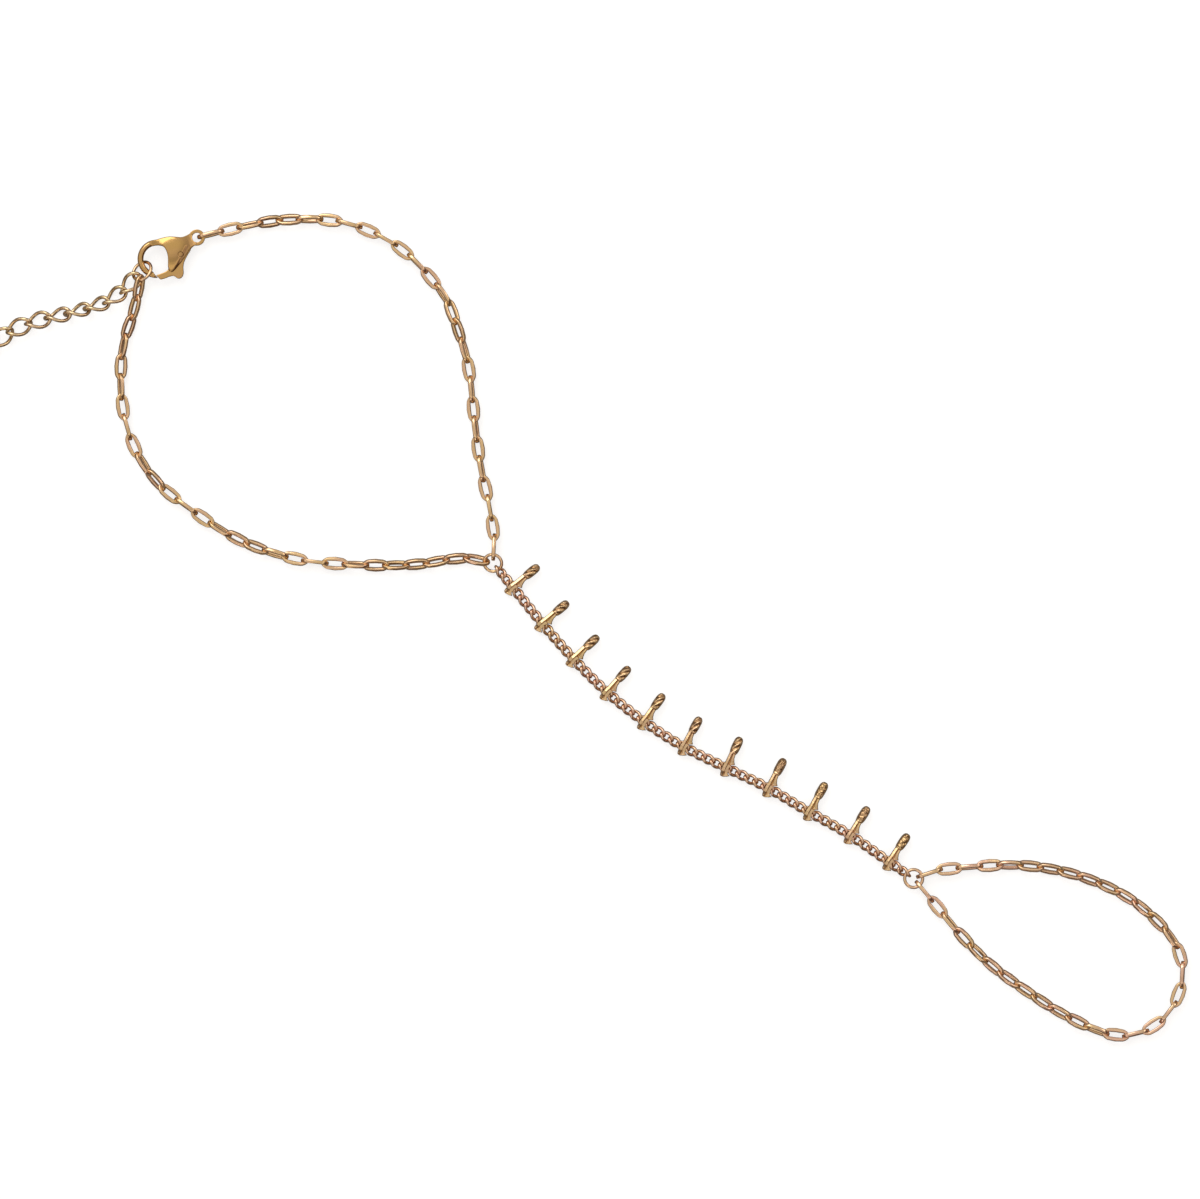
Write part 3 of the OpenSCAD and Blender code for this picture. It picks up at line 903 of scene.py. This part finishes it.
    def groove(self, x: float, y: float, number: int) -> float:
        """Share of its depth that the tip's slanted groove has at a point.

        Args:
            x: Place across the spike.
            y: Place along the spike.
            number: Number of the bar, which shifts its pattern.

        Returns:
            The share from 0 between the grooves to 1 in their middle.
        """
        wave = sum(high * math.sin(often * x + shift * number)
                   for high, often, shift in self.groove_waves)
        along = y - self.groove_slant * x + wave + self.groove_shift * number
        turn = 2 * math.pi * along / self.groove_pitch
        return (0.5 - 0.5 * math.cos(turn)) ** self.groove_power

    def shade_share(self, at: Vector, number: int) -> float:
        """Share of painted shade in a groove, over a pebbled tip and in the line beside the ridge.

        Args:
            at: The point on the bar, in millimetres.
            number: Number of the bar.

        Returns:
            The share from 0 to 1.
        """
        past_neck = at.y - self.reach + self.tip_shade_length * self.tip_length
        on_tip = clamped(past_neck / (self.tip_shade_fade * self.tip_length))
        if number >= self.first_pebbled:
            tip = self.pebbled_tip_shade
        else:
            depth = self.groove(at.x, at.y, number)
            tip = self.groove_shade * (depth - self.groove_shade_from) / (1 - self.groove_shade_from)
        # painted shade in the line on the ridge's shaded side
        line = self.ridge_line_shade * bell(at.x - self.line_at, self.line_half)
        return on_tip * tip + (1 - on_tip) * line

    def relief(self, x: float, y: float, number: int) -> float:
        """Depth of the tip's wavy grooves and pebbling at a point.

        Args:
            x: Place across the spike.
            y: Place along the spike.
            number: Number of the bar, which shifts its pattern.

        Returns:
            How far the surface sinks, in millimetres.
        """
        pebbling = self.pebbling[number >= self.first_pebbled]
        depth = (1 - pebbling) * self.groove(x, y, number)
        depth += self.pebbles.share * pebbling * abs(self.pebbles.at(x, y, number))
        depth += self.fine_grain.share * self.fine_grain.at(x, y, number)
        return self.groove_depth * depth

    def profile(self, s: Station, number: int) -> list[Vector]:
        """Points of one section, from the left edge over the top to the right edge.

        Args:
            s: The section.
            number: Number of the bar.

        Returns:
            The section's points in millimetres.
        """
        bridged = abs(s.y) < self.saddle_half * self.saddle_hollow
        under = self.saddle_under if bridged else self.under
        low = under + self.edge * (1 - self.tip_edge_loss * s.dome)
        middle, half = (s.right - s.left) / 2, (s.right + s.left) / 2
        side, crest, web = self.points_across
        across = np.concatenate((np.linspace(-s.left, s.crest_from, side)[:-1],
                                 np.linspace(s.crest_from, s.crest_to, crest)[:-1],
                                 np.linspace(s.crest_to, s.right, web)))
        points = [Vector((-s.left, s.y, under))]
        for x in map(float, across):
            if x < s.crest_from:
                rise = math.sin(math.pi / 2 * (x + s.left) / (s.crest_from + s.left))
                brow = s.top - self.ridge_tilt * (s.crest_to - s.crest_from)
                straight = low + (brow - low) * rise ** self.ridge_side_power
            elif x <= s.crest_to:
                straight = s.top - self.ridge_tilt * (s.crest_to - x)
            else:
                share = (x - s.crest_to) / (s.right - s.crest_to)
                straight = self.web.height(share, s.top, low)
            t = (x - middle) / half
            dome = low + (s.top - low) * math.sqrt(max(0.0, 1 - abs(t) ** self.dome_power))
            z = (1 - s.dome) * straight + s.dome * dome
            z -= s.dome * self.relief(x, s.y, number) * (1 - t ** self.relief_fade_power)
            points.append(Vector((x, s.y, max(z, low * self.lowest))))
        points.append(Vector((s.right, s.y, under)))
        return points

    def build(self, number: int, place: Place, wardrobe: Wardrobe) -> bpy.types.Object:
        """Build one bar on its curb link.

        Args:
            number: The bar's number from the wrist ring.
            place: Place of its curb link.
            wardrobe: Where its finish comes from.

        Returns:
            The piece.
        """
        mesh = bmesh.new()
        rings = [[mesh.verts.new(p * MM) for p in self.profile(s, number)]
                 for s in self.sections()]
        n = len(rings[0])
        for a, b in zip(rings, rings[1:]):
            for k in range(n):
                mesh.faces.new((a[k], a[(k + 1) % n], b[(k + 1) % n], b[k]))
        mesh.faces.new(list(reversed(rings[0])))
        mesh.faces.new(rings[-1])
        bmesh.ops.recalc_face_normals(mesh, faces=mesh.faces)
        mesh.transform(place.matrix())
        data = bpy.data.meshes.new(f"spike_{number}")
        mesh.to_mesh(data)
        mesh.free()
        data.shade_smooth()
        data.set_sharp_from_angle(angle=math.radians(self.sharp_from))
        piece = bpy.data.objects.new(f"spike_{number}", data)
        bpy.context.scene.collection.objects.link(piece)
        settle(piece, Body.BRACELET, wardrobe, Tone.BARS, f"bar_{number}")
        to_bar = place.matrix().inverted()
        # Paint shade into the grooves, the pebbled tips and the line beside the ridge.
        wardrobe.painted_shade(piece, lambda at: self.shade_share(to_bar @ at / MM, number))
        return piece


# The clasp


@dataclass
class CastClasp:
    """Lobster clasp whose cast parts are rounded from their solids.

    The belly is polished more where it rises from thin to thick above and below its middle. The
    seam is a line of points seen from above.
    """

    grain: float = 0.045
    buff_share: float = 0.5
    rounds: int = 5
    polish_rounds: int = 40
    thin: float = 0.42
    thick: float = 0.62
    seam: tuple[Pair, ...] = (
        (-74.07, 6.76), (-73.95, 6.07), (-73.65, 4.87), (-73.5, 3.9), (-73.35, 3.1))
    seam_width: float = 0.24
    seam_depth: float = 0.08
    # Painted shade and dark reflection in the seam's gap, and painted shade on the slope down to
    # it.
    seam_shade: float = 0.75
    slope_width: float = 0.75
    slope_shade: float = 0.38

    def build(self, wardrobe: Wardrobe) -> None:
        """Build the body and the lever, and dress the pin.

        Args:
            wardrobe: Where the finish comes from.
        """
        for node, body in (("clasp_body", Body.BRACELET), ("clasp_lever", Body.LEVER)):
            piece = settle(self.rounded(node), body, wardrobe, Tone.CLASP, node)
            if body is Body.BRACELET:
                self.recess(piece)
                # Paint the seam's shade into the body's colour.
                wardrobe.painted_shade(piece, self.shade_share)
        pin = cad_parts["clasp_pin"]
        pin.data.materials.clear()
        pin.data.materials.append(wardrobe.materials[Tone.CLASP])
        # Paint the same seam shade onto the pin.
        wardrobe.painted_shade(pin, self.shade_share)

    def from_seam(self, at: Vector) -> float:
        """Distance from a point to the seam beside the lever, seen from above.

        Args:
            at: The point in metres.

        Returns:
            The distance in millimetres.
        """
        flat = Vector((at.x, at.y)) / MM
        near = []
        for start, end in zip(map(Vector, self.seam), map(Vector, self.seam[1:])):
            run = end - start
            share = clamped((flat - start).dot(run) / run.length_squared)
            near.append((flat - start - share * run).length)
        return min(near)

    def shade_share(self, at: Vector) -> float:
        """Share of painted shade and dark reflection in the seam, and of painted shade on the slope
        down to it.

        Args:
            at: The point in metres.

        Returns:
            The share from 0 to 1.
        """
        away = self.from_seam(at)
        seam = self.seam_shade * bell(away, self.seam_width)
        return seam + self.slope_shade * bell(away, self.slope_width)

    def recess(self, piece: bpy.types.Object) -> None:
        """Sink the seam into both faces of the body.

        Args:
            piece: The body in metres.
        """
        corners = piece.data.vertices
        level = sum(corner.co.z for corner in corners) / len(corners)
        for corner in corners:
            sink = self.seam_depth * bell(self.from_seam(corner.co), self.seam_width)
            rise = corner.co.z - level
            corner.co.z -= math.copysign(min(sink * MM, abs(rise)), rise)

    def rounded(self, node: str) -> bpy.types.Object:
        """Round a solid's edges as casting and polishing do.

        Args:
            node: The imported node.

        Returns:
            A new piece with a smooth plain mesh.
        """
        corners, faces = merged(node)
        middle = (corners.min(axis=0) + corners.max(axis=0)) / 2
        data = bpy.data.meshes.new(node + "_cast")
        data.from_pydata(((corners - middle) / MM).tolist(), [], faces.tolist())
        piece = bpy.data.objects.new(node + "_cast", data)
        bpy.context.scene.collection.objects.link(piece)
        cells = piece.modifiers.new("cells", "REMESH")
        cells.mode = "VOXEL"
        cells.voxel_size = self.grain
        buff = piece.modifiers.new("buff", "SMOOTH")
        buff.factor = self.buff_share
        buff.iterations = self.rounds
        plain(piece)
        self.polish(piece)
        piece.data.transform(Matrix.Translation(Vector(middle)) @ Matrix.Scale(MM, 4))
        piece.data.shade_smooth()
        return piece

    def polish(self, piece: bpy.types.Object) -> None:
        """Round the rims of the thick belly further and leave the thin wire as it is.

        Args:
            piece: The cast mesh in millimetres, level about its middle.
        """
        belly = piece.vertex_groups.new(name="belly")
        for corner in piece.data.vertices:
            rise = (abs(corner.co.z) - self.thin) / (self.thick - self.thin)
            belly.add([corner.index], clamped(rise), "REPLACE")
        buff = piece.modifiers.new("polish", "SMOOTH")
        buff.factor = self.buff_share
        buff.iterations = self.polish_rounds
        buff.vertex_group = belly.name
        plain(piece)
        piece.vertex_groups.clear()


# The studio


@dataclass(frozen=True)
class Lamp:
    """Square area light, with its place and side in metres and its power in watts."""

    name: str
    place: Triple
    side: float
    power: float
    colour: Triple


@dataclass
class Studio:
    """Pale floor, soft lights and the camera straight above.

    The sky's stops are heights and colours, and its lean tips that height along x and y.
    """

    middle: Pair = (-3.77, 2.36)
    right_turn: float = 36.87
    view_width: float = 156.0
    height: float = 900.0
    sensor: float = 36.0
    clip: Pair = (0.01, 20.0)
    floor_half: float = 2.0
    floor_drop: float = 0.02
    floor_rough: float = 0.9
    floor_reflected: float = 0.32
    floor_seen: float = 0.42
    floor_glow: float = 0.74
    lamps: tuple[Lamp, ...] = (
        Lamp("key", (-0.76, 0.38, 0.8), 0.7, 4.0, (1.0, 0.98, 0.95)),
        Lamp("side", (0.35, 0.95, 0.5), 0.35, 0.8, (1.0, 0.93, 0.9)),
        Lamp("low", (0.2, -0.9, 0.35), 0.3, 0.5, (1.0, 0.9, 0.88)),
    )
    sky_lean: Pair = (-0.28, 0.16)
    sky_stops: tuple[tuple[float, Triple], ...] = (
        (0.1, (0.10, 0.07, 0.06)),
        (0.40, (0.16, 0.115, 0.10)),
        (0.66, (1.25, 1.19, 1.11)),
        (0.84, (0.52, 0.49, 0.46)),
        (1.0, (0.85, 0.82, 0.78)),
    )

    def build(self) -> None:
        """Build the floor, the lights, the sky and the camera."""
        self.floor()
        self.lights()
        self.sky()
        self.camera()

    def camera(self) -> None:
        """Add the camera above the middle of the photo's view."""
        data = bpy.data.cameras.new("camera")
        data.sensor_width = self.sensor
        data.lens = self.sensor * self.height / self.view_width
        data.clip_start, data.clip_end = self.clip
        made = bpy.data.objects.new("camera", data)
        made.location = (self.middle[0] * MM, self.middle[1] * MM, self.height * MM)
        made.rotation_euler = (0, 0, math.radians(self.right_turn))
        bpy.context.scene.collection.objects.link(made)
        bpy.context.scene.camera = made

    def floor(self) -> None:
        """Add a wide white floor just under the bracelet, dimmer in reflections than to the eye."""
        mesh = bmesh.new()
        bmesh.ops.create_grid(mesh, x_segments=1, y_segments=1, size=self.floor_half)
        bmesh.ops.translate(mesh, verts=mesh.verts, vec=(0, 0, -self.floor_drop * MM))
        data = bpy.data.meshes.new("floor")
        mesh.to_mesh(data)
        mesh.free()
        made = bpy.data.objects.new("floor", data)
        material = bpy.data.materials.new("white_sweep")
        material.use_nodes = True
        sheet = NodeSheet(material.node_tree)
        shader = material.node_tree.nodes["Principled BSDF"]
        seen = sheet.add("ShaderNodeLightPath").outputs["Is Camera Ray"]
        tone = sheet.add("ShaderNodeMapRange", {
            "Value": seen, "To Min": self.floor_reflected, "To Max": self.floor_seen})
        glow = sheet.sum("MULTIPLY", seen, self.floor_glow)
        material.node_tree.links.new(tone.outputs[0], shader.inputs["Base Color"])
        material.node_tree.links.new(glow, shader.inputs["Emission Strength"])
        shader.inputs["Roughness"].default_value = self.floor_rough
        shader.inputs["Specular IOR Level"].default_value = 0.0
        shader.inputs["Emission Color"].default_value = (1, 1, 1, 1)
        data.materials.append(material)
        bpy.context.scene.collection.objects.link(made)

    def lights(self) -> None:
        """Add the soft lights round and above the bracelet."""
        for lamp in self.lamps:
            data = bpy.data.lights.new(lamp.name, "AREA")
            data.shape = "SQUARE"
            data.size = lamp.side
            data.energy = lamp.power
            data.color = lamp.colour
            made = bpy.data.objects.new(lamp.name, data)
            made.location = lamp.place
            made.rotation_euler = (-Vector(lamp.place)).to_track_quat("-Z", "Y").to_euler()
            bpy.context.scene.collection.objects.link(made)

    def sky(self) -> None:
        """Set a soft room light, pale overhead and dark low down, so polished edges read dark."""
        world = bpy.data.worlds.new("room")
        bpy.context.scene.world = world
        world.use_nodes = True
        sheet = NodeSheet(world.node_tree)
        place = sheet.add("ShaderNodeTexCoord").outputs["Generated"]
        parts = sheet.add("ShaderNodeSeparateXYZ", {0: place}).outputs
        height = sheet.sum("MULTIPLY_ADD", parts[0], self.sky_lean[0], parts[2])
        height = sheet.sum("MULTIPLY_ADD", parts[1], self.sky_lean[1], height)
        ramp = sheet.add("ShaderNodeValToRGB", {0: height})
        stops = ramp.color_ramp.elements
        for stop, (at, colour) in zip(stops, (self.sky_stops[0], self.sky_stops[-1])):
            stop.position, stop.color = at, (*colour, 1)
        for at, colour in self.sky_stops[1:-1]:
            stops.new(at).color = (*colour, 1)
        ground = world.node_tree.nodes["Background"]
        world.node_tree.links.new(ramp.outputs[0], ground.inputs[0])
        ground.inputs[1].default_value = 1.0
        bpy.context.scene.view_settings.view_transform = "Standard"


def main() -> None:
    """Build and dress every piece of the bracelet, then the studio."""
    logging.basicConfig(level=logging.INFO, format="%(message)s")
    wardrobe = Wardrobe()
    Studio().build()
    Strands().build(wardrobe)
    for node, tone in (("wrist_ring", Tone.LINKS), ("finger_ring", Tone.FINGER),
                       ("end_ring", Tone.LINKS)):
        WireRing(node, tone).build(wardrobe)
    spike = SpikeBar()
    for number, place in enumerate(bar_places(), start=1):
        spike.build(number, place, wardrobe)
    CastClasp().build(wardrobe)


if __name__ == "__main__":
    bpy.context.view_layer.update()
    main()
